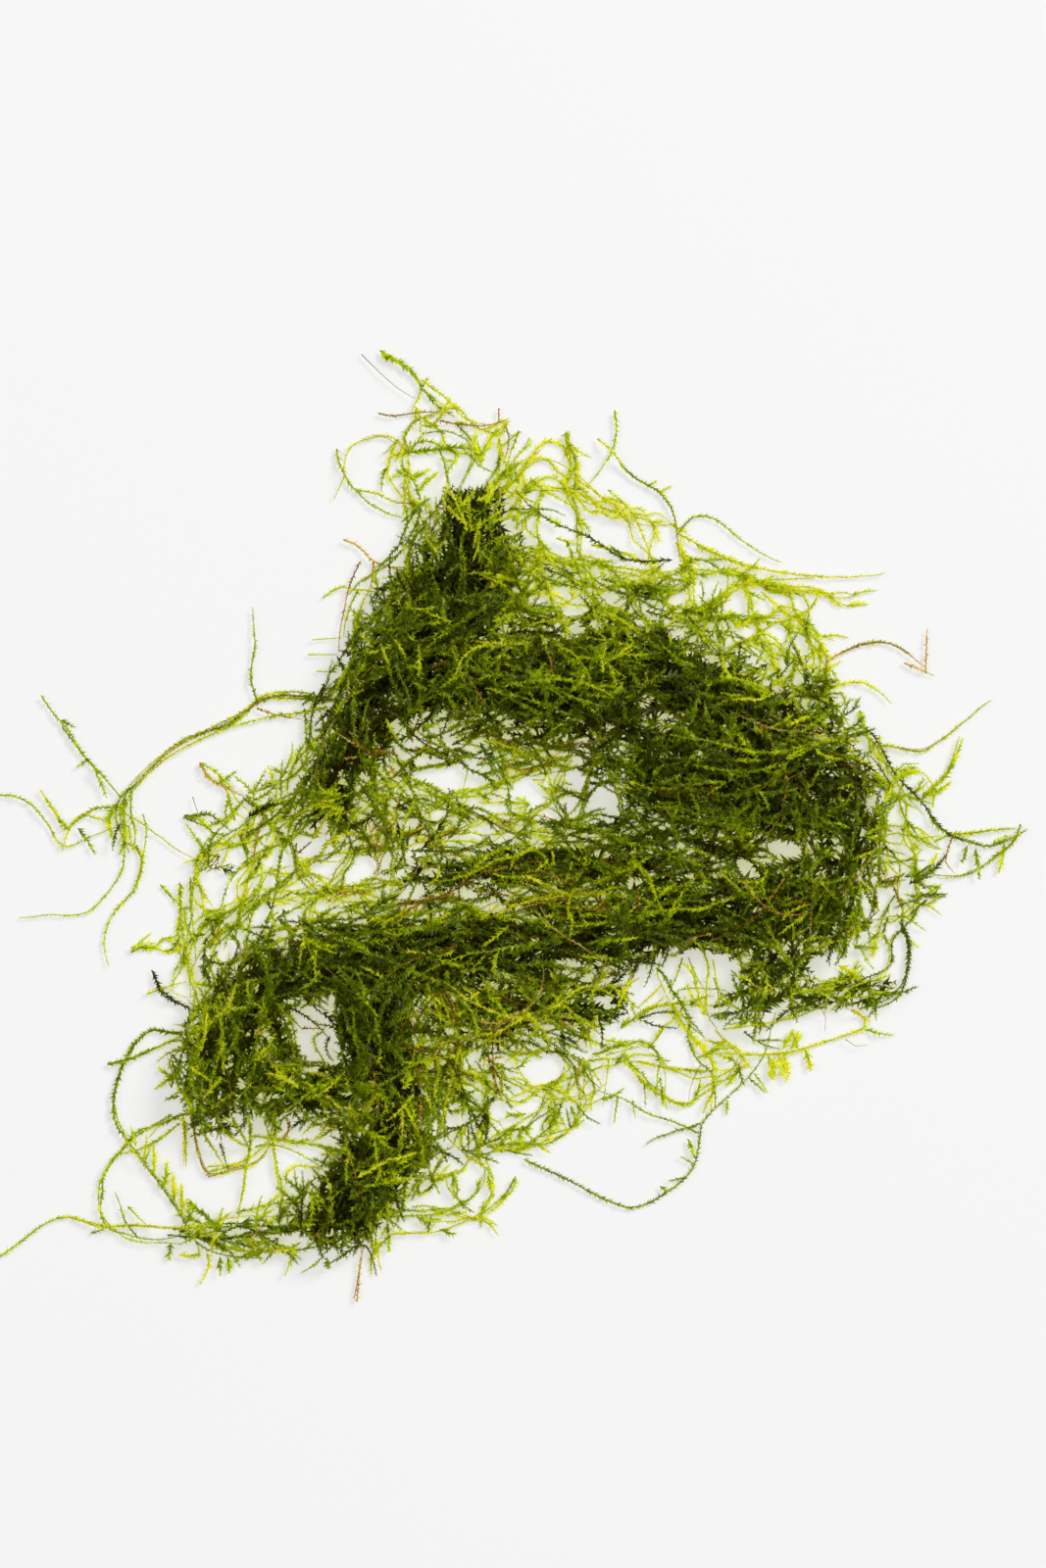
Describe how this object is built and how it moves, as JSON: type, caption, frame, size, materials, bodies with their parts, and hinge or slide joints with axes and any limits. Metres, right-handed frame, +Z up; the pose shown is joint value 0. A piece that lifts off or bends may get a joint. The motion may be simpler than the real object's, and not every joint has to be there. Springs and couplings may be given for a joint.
{
  "type": "moss clump",
  "caption": "Loose tangle of long-stemmed aquatic moss, with matted ropes, open lace and trailing leafy shoots, that lies flat on a surface.",
  "frame": {"origin": "middle of the clump's outline, on the surface that it lies on", "axes": "+X towards the side with the wide dark mass, along the clump's longest extent; +Y towards the pointed peak; +Z up from the surface"},
  "size_m": [0.1754, 0.1628, 0.0159],
  "materials": {
    "old_moss": "wet, dark green mat of small leaves",
    "grown_moss": "wet, mid green leafy stems",
    "young_moss": "wet, translucent yellow-green shoots",
    "dry_moss": "brown to orange ageing stems"
  },
  "bodies": {
    "root": {"tower": "old_moss", "upper_band": "old_moss", "north_shoulder": "old_moss", "east_mass": "old_moss", "east_shoulder": "old_moss", "middle_band_east": "old_moss", "middle_band_west": "old_moss", "central_rope": "old_moss", "west_lobe": "old_moss", "ring_bar": "grown_moss", "column": "old_moss", "tail": "old_moss", "tail_runner": "grown_moss", "south_mat": "grown_moss", "southeast_mass": "old_moss", "southeast_wing": "grown_moss", "peak_lace": "grown_moss", "north_lace_west": "young_moss", "north_lace_east": "young_moss", "west_web": "young_moss", "central_web": "young_moss", "east_fringe": "young_moss", "south_fringe": "young_moss", "tail_fringe": "young_moss", "southeast_lace": "young_moss", "peak_crest_shoot": "young_moss", "peak_loop_shoot": "young_moss", "peak_side_shoot": "young_moss", "orange_twig": "dry_moss", "tower_side_shoot": "young_moss", "north_spire_shoot": "young_moss", "north_arch_shoot": "young_moss", "north_runner_shoot": "young_moss", "orange_tipped_sprig": "dry_moss", "right_curl_shoot": "young_moss", "east_high_runner": "young_moss", "east_feather_shoot": "young_moss", "east_long_stem": "young_moss", "east_low_arc": "young_moss", "east_lower_loop": "young_moss", "fern_shoot": "young_moss", "long_loop_shoot": "young_moss", "tail_drip_shoot": "young_moss", "west_loop_shoot": "young_moss", "west_frond": "young_moss", "far_thread_shoot": "young_moss", "upper_leaf_shoot": "young_moss", "hanging_loop_shoot": "young_moss", "hanging_side_shoot": "young_moss", "hanging_middle_shoot": "young_moss", "west_runner": "grown_moss", "west_diagonal_shoot": "young_moss", "far_west_shoot": "young_moss", "west_arm_shoot": "young_moss", "west_tails": "young_moss", "thin_link_shoot": "young_moss", "dark_bit_thread": "dry_moss"}
  },
  "joints": []
}
